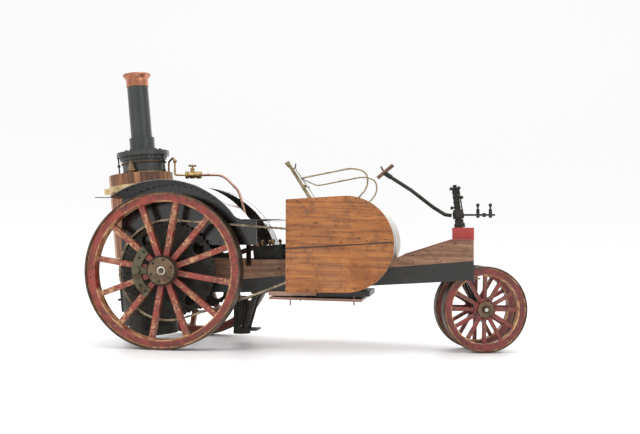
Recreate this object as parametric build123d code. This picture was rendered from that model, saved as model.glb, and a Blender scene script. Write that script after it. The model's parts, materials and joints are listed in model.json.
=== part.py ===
"""Model of a steam road carriage: upright boiler, chain-driven wheels, board casing, tiller steering.

Millimetres, +Z up, +X towards the front, -Y the near side.  The pieces are drawn with X measured
from the driving axle and Z from the ground, then moved so that the origin is the base's centre.
"""
from build123d import *
from math import acos, atan2, cos, hypot, pi, radians, sin
import os

# ---- driving dimensions ------------------------------------------------------------------------
SHAFT_FIT = 0.05       # radial clearance of a shaft in its bearing
GAP = 0.4              # clearance between pieces that move past each other

DRIVE_R = 95.2         # driving wheel over its tyre
DRIVE_Y = 87.5         # driving wheel's mid-plane
DRIVE_TYRE_W = 20.0
DRIVE_TYRE_T = 2.0
DRIVE_RIM_W = 15.0
DRIVE_RIM_IN = DRIVE_R - 11.7
DRIVE_HUB_R = 18.2
DRIVE_SPOKE_W = 6.6
DRIVE_SPOKE_T = 8.0
SPOKES = 12
AXLE_R = 6.0
AXLE_HALF = 97.0

CHAIN_R = 61.7         # pitch radius on the big sprocket
CHAIN_SMALL_R = 13.0   # pitch radius on the crank sprocket
CHAIN_Y = 69.2
CHAIN_W = 3.4
CHAIN_HALF_H = 2.2
CHAIN_SAG = 5.0
SPROCKET_T = 2.6
SPROCKET_TEETH = 57
CRANK_TEETH = 12

CRANK_X, CRANK_Z = 220.0, 127.0
CRANK_THROW = 9.0
CRANK_R = 4.0
CYL_Y = 18.0
BED_TOP = 105.5        # the board that carries the cylinder block
BED_T = 3.5
ENGINE_TILT = 6.0

BOARD_Y = 48.5         # outer face of the frame's side boards
BOARD_T = 3.0
REAR_X, FRONT_X = -62.0, 375.0
PITCH = 1.34           # the whole frame rides a little nose-up about the driving axle
FRAME_TOP = 107.6
BONNET_TOP = 132.0

CASE_Y = 80.0          # outer face of the casing's board sides
CASE_T = 4.0
CASE_REAR = 147.0
CASE_R = 58.6
CASE_SHEET = 1.0

FENDER_R = DRIVE_R + 14.6
FENDER_T = 1.0
FENDER_OUT, FENDER_IN = 97.5, 62.4
PLATE_T = 1.2
APRON_IN = 21.0        # inner edge of the near fender's wide front

BOILER_X0 = -40.0      # where the boiler's axis meets the ground
BOILER_LEAN = 5.2
BOILER_R = 37.2
LAG_R = 40.5
LAG_LOW, LAG_TOP = 106.0, 219.0
STAVES = 32
MOUTH_Z = (44.0, 72.0)  # fire door opening
STACK_OFFSET = 5.0     # smokebox and chimney stand forward of the boiler's axis

WHEEL2_R = 54.0        # front wheels
WHEEL2_Y = 22.5
WHEEL2_TYRE_W = 14.0
WHEEL2_TYRE_T = 1.8
WHEEL2_RIM_W = 11.0
WHEEL2_RIM_IN = WHEEL2_R - 11.0
WHEEL2_HUB_R = 10.0
WHEEL2_SPOKE_W = 4.6
WHEEL2_X = 385.0
WHEEL2_AXLE_R = 3.0
STEER_REST = 13.0      # the front wheels stand turned by this much
RAKE = 7.0
COLUMN_X, COLUMN_Z = 355.0, 180.0
COLUMN_R = 4.1

parts = {}


# ---- shape helpers -------------------------------------------------------------------------------
def block(x0, x1, y0, y1, z0, z1):
    """A box between two corners."""
    centre = ((x0 + x1) / 2, (y0 + y1) / 2, (z0 + z1) / 2)
    return Pos(*centre) * Box(abs(x1 - x0), abs(y1 - y0), abs(z1 - z0))


def across(x, z, radius, y0, y1):
    """A round bar along Y."""
    return Pos(x, (y0 + y1) / 2, z) * Rot(90, 0, 0) * Cylinder(radius, abs(y1 - y0))


def along(x0, x1, y, z, radius):
    """A round bar along X."""
    return Pos((x0 + x1) / 2, y, z) * Rot(0, 90, 0) * Cylinder(radius, abs(x1 - x0))


def upright(x, y, z0, z1, radius, top_radius=None):
    """A round bar or cone along Z."""
    place = Pos(x, y, (z0 + z1) / 2)
    if top_radius is None:
        return place * Cylinder(radius, z1 - z0)
    return place * Cone(radius, top_radius, z1 - z0)


def ring(x, z, outer, inner, y0, y1):
    """A ring whose axis runs along Y."""
    low, high = min(y0, y1), max(y0, y1)
    return across(x, z, outer, low, high) - across(x, z, inner, low - 1, high + 1)


def tube(x, y, z0, z1, outer, inner):
    """A ring whose axis runs along Z."""
    return upright(x, y, z0, z1, outer) - upright(x, y, z0 - 1, z1 + 1, inner)


def slab(points, y0, y1):
    """A flat outline of (x, z) points, extruded along Y."""
    face = make_face(Polyline(*[(x, 0, z) for x, z in points], close=True))
    solid = extrude(face, amount=abs(y1 - y0), dir=(0, 1, 0))
    return Pos(0, min(y0, y1), 0) * solid


def sector(x, z, outer, inner, start, end, y0, y1):
    """Part of a ring about Y between two angles, measured from +X towards +Z."""
    def at(radius, angle):
        return (x + radius * cos(radians(angle)), 0, z + radius * sin(radians(angle)))
    middle = (start + end) / 2
    edges = [
        ThreePointArc(at(outer, start), at(outer, middle), at(outer, end)),
        Line(at(outer, end), at(inner, end)),
        ThreePointArc(at(inner, end), at(inner, middle), at(inner, start)),
        Line(at(inner, start), at(outer, start)),
    ]
    solid = extrude(make_face(edges), amount=abs(y1 - y0), dir=(0, 1, 0))
    return Pos(0, min(y0, y1), 0) * solid


def wire(points, radius, bend):
    """A round wire through the points, with one bend radius."""
    path = FilletPolyline(*points, radius=bend)
    return sweep(Plane(origin=path @ 0, z_dir=path % 0) * Circle(radius), path)


def bar(start, end, radius):
    """A straight round bar between two points."""
    line = Vector(*end) - Vector(*start)
    return Plane(origin=start, z_dir=line) * Pos(0, 0, line.length / 2) * Cylinder(radius, line.length)


def both_sides(solid):
    """The piece and its mirror image on the far side."""
    return [solid, mirror(solid, about=Plane.XZ)]


def gather(*pieces):
    """One list of solids from shapes and lists of shapes."""
    found = []
    for piece in pieces:
        if isinstance(piece, (list, tuple)):
            found += gather(*piece)
        else:
            found += piece.solids()
    return found


def cut(pieces, *tools):
    """Every solid less the tools, as a list of solids."""
    result = []
    for solid in gather(pieces):
        rest = solid
        for tool in gather(*tools):
            rest = rest - tool
        result += rest.solids()
    return result


def segments(solid, count):
    """A ring about Z, parted into equal plates."""
    plates = []
    for index in range(count):
        wedge = Rot(0, 0, 360 / count * index) * block(0, 60, 0, 60, -10, 400)
        limit = Rot(0, 0, 360 / count * (index + 1)) * block(0, 60, 0, 60, -10, 400)
        plates += (solid & (wedge - limit)).solids()
    return plates


def add(name, *pieces):
    """Store one node of separate solids."""
    parts[name] = gather(*pieces)
    return parts[name]


# ---- places that several pieces share ------------------------------------------------------------
boiler_place = Pos(BOILER_X0, 0, 0) * Rot(0, -BOILER_LEAN, 0)
engine_place = Pos(CRANK_X, 0, CRANK_Z) * Rot(0, -ENGINE_TILT, 0)
column_place = Pos(COLUMN_X, 0, COLUMN_Z) * Rot(0, -RAKE, 0)
ride_place = Pos(0, 0, DRIVE_R) * Rot(0, -PITCH, 0) * Pos(0, 0, -DRIVE_R)
wheel_place = ride_place.inverse() * Pos(WHEEL2_X, 0, WHEEL2_R) * Rot(0, 0, STEER_REST)


def leaning(pieces):
    return [boiler_place * solid for solid in gather(pieces)]


def on_engine(pieces):
    return [engine_place * solid for solid in gather(pieces)]


def on_column(pieces):
    return [column_place * solid for solid in gather(pieces)]


def steered(pieces):
    return [wheel_place * solid for solid in gather(pieces)]


def board_base(x):
    """Height of the frame's lower edge, which rises to the front."""
    return 67.0 + (x - 95.0) * 0.055


def chain_outline(grow):
    """The chain's loop, grown outwards: taut above, hanging a little below."""
    big, small = CHAIN_R + grow, CHAIN_SMALL_R + grow
    rise, run = CRANK_Z - DRIVE_R, CRANK_X
    lean = atan2(rise, run)
    spread = acos((big - small) / hypot(rise, run))

    def at(x, z, radius, angle):
        return (x + radius * cos(angle), 0, z + radius * sin(angle))
    top, low = lean + spread, lean - spread
    points = {
        "big_top": at(0, DRIVE_R, big, top), "big_low": at(0, DRIVE_R, big, low),
        "small_top": at(CRANK_X, CRANK_Z, small, top), "small_low": at(CRANK_X, CRANK_Z, small, low),
    }
    middle = [(a + b) / 2 for a, b in zip(points["big_low"], points["small_low"])]
    sagged = (middle[0] - CHAIN_SAG * cos(low + pi), 0, middle[2] + CHAIN_SAG * sin(low))
    edges = [
        Line(points["big_top"], points["small_top"]),
        ThreePointArc(points["small_top"], at(CRANK_X, CRANK_Z, small, lean), points["small_low"]),
        ThreePointArc(points["small_low"], sagged, points["big_low"]),
        ThreePointArc(points["big_low"], at(0, DRIVE_R, big, lean + pi), points["big_top"]),
    ]
    return make_face(edges)


def chain_loop(outer, inner, y0, y1):
    """A band that follows the chain, between two growths."""
    width = abs(y1 - y0)
    whole = extrude(chain_outline(outer), amount=width, dir=(0, 1, 0))
    hollow = extrude(chain_outline(inner), amount=width, dir=(0, 1, 0))
    return Pos(0, min(y0, y1), 0) * (whole - hollow)


# ---- driving wheels --------------------------------------------------------------------------------
def spoked(radius_in, hub_radius, width, thickness, y, z):
    """Radial spokes that end on the hub and the rim, along Y at y."""
    reach = radius_in + 4
    zone = ring(0, z, radius_in, hub_radius, y - thickness, y + thickness)
    spokes = []
    for index in range(SPOKES):
        stick = Pos(reach / 2, y, 0) * Box(reach, thickness, width)
        spokes.append((Pos(0, 0, z) * Rot(0, -(20 + 360 / SPOKES * index), 0) * stick) & zone)
    return spokes


def driving_wheels():
    rim_out = DRIVE_R - DRIVE_TYRE_T
    tyres, rims, spokes, hubs = [], [], [], []
    sprockets, dogs = [], []
    for side in (-1, 1):
        y = side * DRIVE_Y
        tyres.append(ring(0, DRIVE_R, DRIVE_R, rim_out, y - DRIVE_TYRE_W / 2, y + DRIVE_TYRE_W / 2))
        rims.append(ring(0, DRIVE_R, rim_out, DRIVE_RIM_IN, y - DRIVE_RIM_W / 2, y + DRIVE_RIM_W / 2))
        spokes.append(spoked(DRIVE_RIM_IN, DRIVE_HUB_R, DRIVE_SPOKE_W, DRIVE_SPOKE_T, y, DRIVE_R))
        barrel = across(0, DRIVE_R, DRIVE_HUB_R, y - side * 7, y + side * 10)
        cap = across(0, DRIVE_R, DRIVE_HUB_R - 2, y + side * 10, y + side * 13)
        stud = across(0, DRIVE_R, 2.7, y + side * 13, y + side * 15)
        neck = across(0, DRIVE_R, 13, side * (CHAIN_Y + SPROCKET_T / 2), y - side * 7)
        hub = barrel + cap + stud + neck - across(0, DRIVE_R, AXLE_R, -AXLE_HALF, AXLE_HALF)
        hubs.append(hub)
        sprockets.append(big_sprocket(side))
        face = y + side * DRIVE_SPOKE_T / 2
        dog = sector(0, DRIVE_R, 38, 27, 130, 238, face, face + side * 3)
        arm = block(-32, -DRIVE_HUB_R + 1, min(face, face + side * 3), max(face, face + side * 3),
                    DRIVE_R - 4, DRIVE_R + 4)
        boss = across(-32, DRIVE_R, 4.5, face + side * 3, face + side * 6)
        dogs.append(cut(dog + arm + boss, hub))
    add("rear_tyres", tyres)
    add("rear_rims", rims)
    add("rear_spokes", spokes)
    add("rear_hubs", hubs)
    add("drive_sprockets", sprockets)
    add("drive_dogs", dogs)
    add("rear_axle", across(0, DRIVE_R, AXLE_R, -AXLE_HALF, AXLE_HALF))


def toothed(radius, depth, teeth, x, z, y):
    """A toothed disc centred on y, its tips at the radius."""
    outline = []
    for index in range(teeth * 2):
        reach = radius - depth * (index % 2)
        angle = radians(360 * index / (teeth * 2))
        outline.append((x + reach * cos(angle), z + reach * sin(angle)))
    return slab(outline, y - SPROCKET_T / 2, y + SPROCKET_T / 2)


def big_sprocket(side):
    """The chain wheel, with four lightening holes."""
    tip = CHAIN_R - CHAIN_HALF_H - GAP
    y = side * CHAIN_Y
    disc = toothed(tip, 2.2, SPROCKET_TEETH, 0, DRIVE_R, y)
    for index in range(4):
        angle = radians(36 + 90 * index)
        disc -= across(45 * cos(angle), DRIVE_R + 45 * sin(angle), 7.5, y - 5, y + 5)
    return disc - across(0, DRIVE_R, AXLE_R, y - 5, y + 5)


def chains_and_crank():
    half = CHAIN_W / 2
    loop = chain_loop(CHAIN_HALF_H, -CHAIN_HALF_H, CHAIN_Y - half, CHAIN_Y + half)
    add("drive_chains", both_sides(loop))
    tip = CHAIN_SMALL_R - CHAIN_HALF_H - GAP
    wheel = toothed(tip, 1.6, CRANK_TEETH, CRANK_X, CRANK_Z, CHAIN_Y)
    wheel -= across(CRANK_X, CRANK_Z, CRANK_R, CHAIN_Y - 5, CHAIN_Y + 5)
    add("crank_sprockets", both_sides(wheel))
    shaft = across(CRANK_X, CRANK_Z, CRANK_R, -CHAIN_Y - 3, CHAIN_Y + 3)
    for side, turn in ((-1, 0), (1, 90)):
        pin_x = CRANK_X + CRANK_THROW * cos(radians(turn))
        pin_z = CRANK_Z + CRANK_THROW * sin(radians(turn))
        y = side * CYL_Y
        shaft -= across(CRANK_X, CRANK_Z, CRANK_R + 1, y - 5, y + 5)
        shaft += across(pin_x, pin_z, 2.6, y - 5, y + 5)
        for face in (y - 7, y + 5):
            shaft += across(pin_x, pin_z, 4.4, face, face + 2)
            shaft += across(CRANK_X, CRANK_Z, 6.5, face, face + 2)
    add("crankshaft", shaft)


# ---- engine ----------------------------------------------------------------------------------------
BLOCK_BACK, BLOCK_FRONT = -124.0, -86.0    # cylinder block, measured back from the crank
BORE_R = 6.6
CROSS_X = -60.0                            # crosshead pin
CROSS_HALF = 5.0
CROSS_H = 5.0
SLIDE_HALF = CRANK_THROW
SWEEP_R = CRANK_THROW + 4.4 + 1.2          # what the turning crank keeps clear


def engine():
    casting = block(BLOCK_BACK, BLOCK_FRONT, -29, 29, -14, 9)
    for side in (-1, 1):
        casting -= along(BLOCK_BACK + 2, BLOCK_FRONT - 3, side * CYL_Y, 0, BORE_R)
        casting -= along(BLOCK_FRONT - 4, BLOCK_FRONT + 1, side * CYL_Y, 0, 1.6 + SHAFT_FIT)
    add("cylinder_block", cut(on_engine(casting), block(60, 160, -60, 60, 60, BED_TOP)))
    cocks = []
    for x in (-112.0, -98.0):
        for y in (-24.0, 24.0):
            stem = upright(x, y, 9, 12.5, 1.6)
            body = upright(x, y, 12.5, 15.5, 2.4)
            lever = block(x - 0.8, x + 0.8, y - 5, y + 5, 15.5, 16.7)
            cocks.append(stem + body + lever)
    add("drain_cocks", on_engine(cocks))

    plate_x = (176.0, 179.0)
    motion = block(*plate_x, -BOARD_Y + BOARD_T, BOARD_Y - BOARD_T, 86, 138)
    for side in (-1, 1):
        motion -= block(170, 185, side * CYL_Y - 5, side * CYL_Y + 5, 112, 134)
    guides = []
    for side in (-1, 1):
        for z in (CROSS_H + GAP, -CROSS_H - GAP - 2.4):
            guides.append(block(BLOCK_FRONT, -35, side * CYL_Y - 3, side * CYL_Y + 3, z, z + 2.4))
    guides = cut(on_engine(guides), motion, block(plate_x[1], 260, -60, 60, 60, 160))
    stands = []
    for side in (-1, 1):
        stand = block(CRANK_X - 11, CRANK_X + 11, side * (BOARD_Y - 4.5), side * BOARD_Y, FRAME_TOP, CRANK_Z + 8)
        stands.append(stand - across(CRANK_X, CRANK_Z, CRANK_R + SHAFT_FIT, -60, 60))
    add("engine_frame", motion, guides, stands)

    for side, name in ((-1, "near"), (1, "far")):
        y = side * CYL_Y
        piston = along(-107.5, -103, y, 0, BORE_R - SHAFT_FIT)
        stem = along(-103.5, CROSS_X - CROSS_HALF + 1, y, 0, 1.6)
        head = block(CROSS_X - CROSS_HALF, CROSS_X + CROSS_HALF, y - 3, y + 3, -CROSS_H, CROSS_H)
        head -= block(CROSS_X - 3.2, CROSS_X + CROSS_HALF + 1, y - 1.6, y + 1.6, -CROSS_H - 1, CROSS_H + 1)
        head += across(CROSS_X, 0, 1.5, y - 2.5, y + 2.5)
        add(name + "_piston_rod", on_engine(piston + stem + head))
        eye = across(CROSS_X, 0, 2.8, y - 1.2, y + 1.2)
        shank = block(CROSS_X + 1, -SWEEP_R - SLIDE_HALF - 2, y - 1.2, y + 1.2, -1.6, 1.6)
        fork = across(-SWEEP_R - SLIDE_HALF - 4.2, 0, 3.6, y - 1.2, y + 1.2)
        rod = eye + shank + fork - across(CROSS_X, 0, 1.5 + SHAFT_FIT, y - 3, y + 3)
        add(name + "_connecting_rod", on_engine(rod))


def feed_pump_and_step():
    x, y, z0, z1 = 78.0, -10.0, 12.0, 54.0
    body = upright(x, y, z0 + 2, z1, 9.6)
    for index in range(18):
        body += Pos(x, y, 0) * Rot(0, 0, 20 * index) * upright(9.6, 0, z0 + 2, z1, 1.2)
    foot = upright(x, y, z0, z0 + 2, 11)
    top = upright(x, y, z1, z1 + 3, 8)
    hanger = block(x - 6, x + 6, -BOARD_Y, y + 4, z1 + 3, z1 + 6)
    hanger += block(x - 6, x + 6, -BOARD_Y, -BOARD_Y + BOARD_T, z1 + 3, board_base(90))
    parts["feed_pump"] = cut(body + foot + top + hanger, parts["sole_bars"])

    step = []
    for y in (-44.0, -24.0):
        leg = slab([(88, 21), (93, 21), (106, 66), (100, 66)], y - 1.2, y + 1.2)
        step.append(leg)
    tread = block(80, 105, -47, -21, 18.6, 21)
    kick = block(80, 82, -47, -21, 21, 25)
    tie = block(100, 106, -45.2, -22.8, 62.5, 65)
    joined = step[0] + step[1] + tread + kick + tie
    bracket = block(98, 108, -BOARD_Y, -22.8, 65, 70)
    add("mounting_step", cut(joined + bracket, parts["sole_bars"]))


# ---- frame -----------------------------------------------------------------------------------------
def frame_boards():
    def divide(x):
        """Height of the line between the dark lower bar and the wooden board."""
        return 84.0 + (x - 95.0) * 0.08 if x < 300 else 100.4 + (x - 300) * 0.08
    base = [(REAR_X, board_base(90)), (90, board_base(90)), (FRONT_X, board_base(FRONT_X))]
    lower = base + [(FRONT_X, divide(FRONT_X)), (REAR_X, divide(REAR_X))]
    upper = [(REAR_X, divide(REAR_X)), (FRONT_X, divide(FRONT_X)), (FRONT_X, BONNET_TOP),
             (347, BONNET_TOP), (305, 118.5), (288, 113.6), (274, FRAME_TOP), (REAR_X, FRAME_TOP)]
    inner, outer = BOARD_Y - BOARD_T, BOARD_Y
    hole = across(0, DRIVE_R, 10, -60, 60)
    add("sole_bars", cut(both_sides(slab(lower, inner, outer)), hole))
    add("side_boards", cut(both_sides(slab(upper, inner, outer)), hole))

    bearing = ring(0, DRIVE_R, 10, AXLE_R + SHAFT_FIT, inner - 2, outer + 6)
    add("axle_bearings", both_sides(bearing))

    bonnet = slab([(274, FRAME_TOP), (288, 113.6), (305, 118.5), (347, BONNET_TOP), (FRONT_X, BONNET_TOP),
                   (FRONT_X, BONNET_TOP - 3), (348, BONNET_TOP - 3), (306, 115.4), (289, 110.6),
                   (276, 104.8)], -inner, inner)
    front = block(FRONT_X - 3, FRONT_X, -inner, inner, 112, BONNET_TOP - 3)
    lug = along(FRONT_X, FRONT_X + 8, -(inner + outer) / 2, board_base(FRONT_X) + 2, 0.9)
    shaft = on_column(upright(0, 0, -100, 40, COLUMN_R + GAP))
    add("bonnet_board", cut([bonnet + front, lug], shaft))
    red = block(349, 376, -31, 31, BONNET_TOP, 147.5) - block(376, 380, -40, 40, 0, 200)
    add("front_block", cut(red, shaft))


def under_gear():
    upper = block(120, 180, -BOARD_Y, BOARD_Y, 62.7, CRANK_Z - CASE_R - 0.1)
    lower = slab([(120, 58), (236, 55), (236, 58.2), (120, 61)], -46, 46)
    tank = block(181, 246, -42, 42, 61.4, 68)
    pins = []
    for x, y in ((146, -40), (146, 40)):
        pins.append(upright(x, y, 50, 62.7, 1.0))
    for x, y in ((226, -38), (226, 38)):
        pins.append(upright(x, y, 50, 61.4, 1.0))
    add("footboards", upper, cut(lower, pins), pins)
    add("under_tank", tank)


def case_outline(shrink, rear):
    """The casing side's D: flat back and bottom, sloping top, round front."""
    radius = CASE_R - shrink
    low, top = CRANK_Z - radius, CRANK_Z + radius
    rear_top = top - 4.1 * (CRANK_X - rear) / (CRANK_X - CASE_REAR)
    points = [(CRANK_X, 0, low), (rear, 0, low), (rear, 0, rear_top), (CRANK_X, 0, top)]
    edges = [Line(points[0], points[1]), Line(points[1], points[2]), Line(points[2], points[3]),
             ThreePointArc(points[3], (CRANK_X + radius, 0, CRANK_Z), points[0])]
    return make_face(edges)


def case_prism(shrink, rear, y0, y1):
    return Pos(0, min(y0, y1), 0) * extrude(case_outline(shrink, rear), amount=abs(y1 - y0), dir=(0, 1, 0))


def casing():
    inner = CASE_Y - CASE_T
    for side, name in ((-1, "near"), (1, "far")):
        panel = case_prism(0, CASE_REAR, side * inner, side * CASE_Y)
        saw = slab([(120, 120.4), (300, 130.6), (300, 131.0), (120, 120.8)], -100, 100)
        hole = across(173, 165, 4, side * 70, side * 90)
        plug = across(173, 165, 4, side * inner, side * (CASE_Y + 0.8))
        batten = slab([(152, 119), (268, 125.6), (268, 132.6), (152, 126)], side * (inner - 2.2), side * inner)
        add(name + "_casing_boards", cut(panel, saw, hole), plug, batten)
    frame_zone = [parts["sole_bars"], parts["side_boards"], parts["bonnet_board"]]
    chain_way = both_sides(chain_loop(CHAIN_HALF_H + 3, -CHAIN_HALF_H - 3, CHAIN_Y - 4, CHAIN_Y + 4))
    skin = case_prism(0, CASE_REAR, -inner, inner) - case_prism(CASE_SHEET, CASE_REAR - 20, -inner, inner)
    skin -= block(0, CRANK_X, -200, 200, 0, 300)
    gap = block(255, 300, -BOARD_Y + BOARD_T, BOARD_Y - BOARD_T, 60, 104)
    add("casing_sheet", cut(skin, frame_zone, gap))
    ring_zone = case_prism(0, CASE_REAR, -inner, inner) - case_prism(4, CASE_REAR + 4, -inner, inner)
    top = ring_zone & block(0, CRANK_X, -200, 200, CRANK_Z, 300)
    floor = ring_zone & block(CASE_REAR + 4, CRANK_X, -200, 200, 0, 75)
    back = ring_zone & block(0, CASE_REAR + 4, -200, 200, 68.4, 175)
    top = top - back
    lever_slot = block(158, 188, -63.5, -56.5, 160, 200)
    tunnel = block(140, 156, -BOARD_Y + BOARD_T, BOARD_Y - BOARD_T, 84, 142)
    add("seat_boards", cut(top, lever_slot), cut(floor, frame_zone), cut(back, frame_zone, chain_way, tunnel))

    route = [(235.5, 183.4), (246.6, 197), (244, 212.5), (231, 219.4), (164, 207.2)]
    near = [(x, -inner + 2, z) for x, z in route]
    far = [(x, inner - 2, z) for x, z in reversed(route)]
    rail = wire(near + far, 1.0, 6.0)
    add("seat_rail", cut(rail, case_prism(0, CASE_REAR, -inner, inner)))


def lever():
    post = block(188, 200, -BOARD_Y - 3, -BOARD_Y, 92, 156)
    pin = across(194, 150, 2, -BOARD_Y - 3, -64)
    parts["engine_frame"] += gather(post + pin)
    blade = slab([(191, 147), (197, 147), (197, 153), (173.4, 188), (150.4, 224.5), (147.2, 222.5),
                  (169.8, 186), (191, 151)], -62, -58)
    blade -= across(194, 150, 2 + SHAFT_FIT, -70, -50)
    grip = slab([(150.6, 223.6), (147.6, 229.5), (142.4, 226.6), (146.4, 221.6)], -63.5, -56.5)
    latch = slab([(163, 199), (172, 196), (173.5, 197.6), (160.5, 203)], -57.8, -56.6)
    grip_cut = cut(grip, blade)
    add("control_lever", blade, grip_cut, latch)


# ---- boiler ----------------------------------------------------------------------------------------
def boiler():
    shell = tube(0, 0, LAG_LOW, LAG_TOP, BOILER_R, BOILER_R - 2)
    floor = upright(0, 0, LAG_LOW, LAG_LOW + 2, BOILER_R - 2)
    roof = upright(0, 0, LAG_TOP - 2, LAG_TOP, BOILER_R - 2)
    flue_places = [(0, 0)] + [(19 * cos(radians(60 * i)), 19 * sin(radians(60 * i))) for i in range(6)]
    flues = [tube(x, y, LAG_LOW, LAG_TOP, 3.2, 2.4) for x, y in flue_places]
    holes = [upright(x, y, LAG_LOW - 5, LAG_TOP + 5, 3.2) for x, y in flue_places]
    drum = shell + floor + roof
    for hole in holes:
        drum -= hole
    add("boiler_shell", leaning(drum))
    add("fire_tubes", leaning(flues))

    outer = BOILER_R - 1
    casing_low = 27.0
    mouth = block(-60, 0, -12, 12, *MOUTH_Z)
    wall = []
    for low, high in ((casing_low, MOUTH_Z[0]), MOUTH_Z, (MOUTH_Z[1], LAG_LOW)):
        wall += segments(tube(0, 0, low, high, outer, outer - 2) - mouth, 8)
    hinge = [upright(-outer - 1.8, 15.5, z, z + 4, 2.4) - upright(-outer - 1.8, 15.5, 0, 90, 1.0 + SHAFT_FIT)
             for z in (46.0, 66.0)]
    hinge = cut(hinge, upright(0, 0, 20, 110, outer))
    hinge += cut([block(-outer - 1.8, -outer + 2, 15, 17.8, z, z + 4) for z in (46.0, 66.0)],
                 upright(0, 0, 20, 110, outer), upright(-outer - 1.8, 15.5, 0, 90, 2.4))
    add("firebox_casing", leaning(wall), leaning(hinge))
    door = tube(0, 0, 42, 74, outer + 0.3 + 2, outer + 0.3) & block(-60, 0, -14, 13, 42, 74)
    knuckle = upright(-outer - 1.8, 15.5, 50.3, 65.7, 2.3)
    link = block(-outer - 1.8, -outer + 1.5, 11, 15.5, 50.3, 65.7) - upright(0, 0, 20, 110, outer + 0.4)
    spindle = upright(-outer - 1.8, 15.5, 45.0, 71.0, 1.0)
    knob = Pos(-outer - 1.5, -9, 58) * Rot(0, 90, 0) * Cylinder(1.6, 6)
    add("fire_door", leaning(door + link + knuckle + spindle + knob))

    pan = tube(0, 0, 11, casing_low, outer - 5, outer - 7)
    rim = tube(0, 0, casing_low - 3, casing_low, outer + 1, outer - 5)
    base = upright(0, 0, 9, 11, outer - 5)
    grate = [block(-outer + 8, outer - 8, y - 1, y + 1, casing_low - 3, casing_low - 1) for y in range(-24, 25, 6)]
    bars = []
    for grid in grate:
        bars += (grid & upright(0, 0, 0, 60, outer - 7)).solids()
    add("ash_pan", leaning(base), leaning(segments(pan + rim, 12)), leaning(bars))

    pitch = 360 / STAVES
    zone = tube(0, 0, LAG_LOW, LAG_TOP, LAG_R, BOILER_R)
    half = LAG_R * sin(radians(pitch / 2)) - 0.12
    stave = zone & block(0, LAG_R + 5, -half, half, LAG_LOW, LAG_TOP)
    add("lagging_staves", leaning([Rot(0, 0, pitch * index) * stave for index in range(STAVES)]))
    bands = []
    for z0, z1 in ((196.5, 204.5), (LAG_LOW, LAG_LOW + 6)):
        band = tube(0, 0, z0, z1, LAG_R + 0.8, LAG_R)
        lugs = block(-LAG_R - 9, -LAG_R + 2, -4.5, 4.5, z0, z1) - upright(0, 0, 90, 220, LAG_R)
        slot = block(-LAG_R - 20, -LAG_R - 1.5, -0.6, 0.6, z0 - 1, z1 + 1)
        bolt = across(-LAG_R - 5.5, (z0 + z1) / 2, 1.1, -7, 7)
        bands.append(band + (lugs - slot) + bolt)
    add("lagging_bands", leaning(bands))
    # frame cross stays that carry the boiler
    stays = [block(REAR_X + 4, REAR_X + 8, -BOARD_Y + BOARD_T, BOARD_Y - BOARD_T, 88, 104),
             block(-20, -16, -BOARD_Y + BOARD_T, BOARD_Y - BOARD_T, 88, 104)]
    body = leaning(upright(0, 0, 0, 240, outer))
    lag = leaning(upright(0, 0, LAG_LOW - 0.5, 240, LAG_R + 0.9))
    bed = block(92, 142, -BOARD_Y + BOARD_T, BOARD_Y - BOARD_T, BED_TOP - BED_T, BED_TOP)
    add("cross_boards", bed, cut(stays, body, lag))


def stack():
    x = STACK_OFFSET
    top = LAG_TOP
    box = tube(x, 0, top, top + 18, 27, 25) + tube(x, 0, top + 18, top + 23, 29.5, 25)
    add("smokebox", leaning(box))
    plate_z = top + 23
    plate = upright(x, 0, plate_z, plate_z + 6, 33.5) - upright(x, 0, plate_z - 1, plate_z + 7, 12)
    for index in range(8):
        angle = radians(45 * index + 20)
        plate += upright(x + 30 * cos(angle), 30 * sin(angle), plate_z + 6, plate_z + 7.6, 1.6)
    add("smokebox_top_plate", leaning(plate))
    base = plate_z + 6
    flange = tube(x, 0, base, base + 3, 19, 12)
    collar = tube(x, 0, base + 3, base + 19, 16, 12)
    pipe = tube(x, 0, base + 19, base + 90, 13.5, 12)
    add("chimney", leaning(flange + collar + pipe))
    cap_low = base + 90
    flare = upright(x, 0, cap_low - 3, cap_low + 7, 14.2) + upright(x, 0, cap_low + 7, cap_low + 12, 14.2, 17.7)
    flare += upright(x, 0, cap_low + 12, cap_low + 13.6, 17.7)
    flare -= upright(x, 0, cap_low - 4, cap_low, 13.5)
    flare -= upright(x, 0, cap_low - 1, cap_low + 8, 12.8) + upright(x, 0, cap_low + 8, cap_low + 13.6, 12.8, 16.6)
    add("chimney_cap", leaning(flare))
    seat = upright(-1, -33, top, top + 3, 4.2)
    bell = upright(-1, -33, top + 3, top + 13, 5.7, 2.2)
    knob = upright(-1, -33, top + 13, top + 17, 1.2)
    add("safety_valve", leaning(seat + bell + knob))


def steam_line():
    z = 217.5
    riser = wire([(-27, 14, LAG_TOP + 2.2), (-27, 14, 236), (-19.4, 7, 241), (-15.2, 2, 236),
                  (-14.5, 0, z), (1, 0, z)], 1.3, 3.0)
    ball = Pos(-15.2, 2, 236) * Sphere(2.6)
    foot = leaning(upright(17.6, 14, LAG_TOP, LAG_TOP + 4, 3))
    riser_set = cut([riser + ball], foot)
    body = along(1, 17, 0, z, 3.6) + along(17, 21, 0, z, 4.6) + along(6, 12, 0, z, 4.8)
    bonnet = upright(9, 0, z + 3, z + 9, 2.4)
    stem_hole = upright(9, 0, z + 5, z + 12, 1.0 + SHAFT_FIT)
    add("stop_valve", foot, riser_set, (body + bonnet) - stem_hole)
    stem = upright(9, 0, z + 5.2, z + 13, 1.0)
    wheel = tube(9, 0, z + 11, z + 13, 5.2, 3.8) + block(4.5, 13.5, -0.8, 0.8, z + 11.2, z + 12.8)
    wheel += block(8.2, 9.8, -4.5, 4.5, z + 11.2, z + 12.8)
    add("stop_valve_handle", stem + wheel)
    route = [(21, 0, z), (50, 0, z), (71, 0, 196), (79, 0, 166), (99, 0, 118)]
    pipe = wire(route, 1.7, 24.0)
    add("steam_pipe", cut(pipe, parts["cylinder_block"]))


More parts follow.
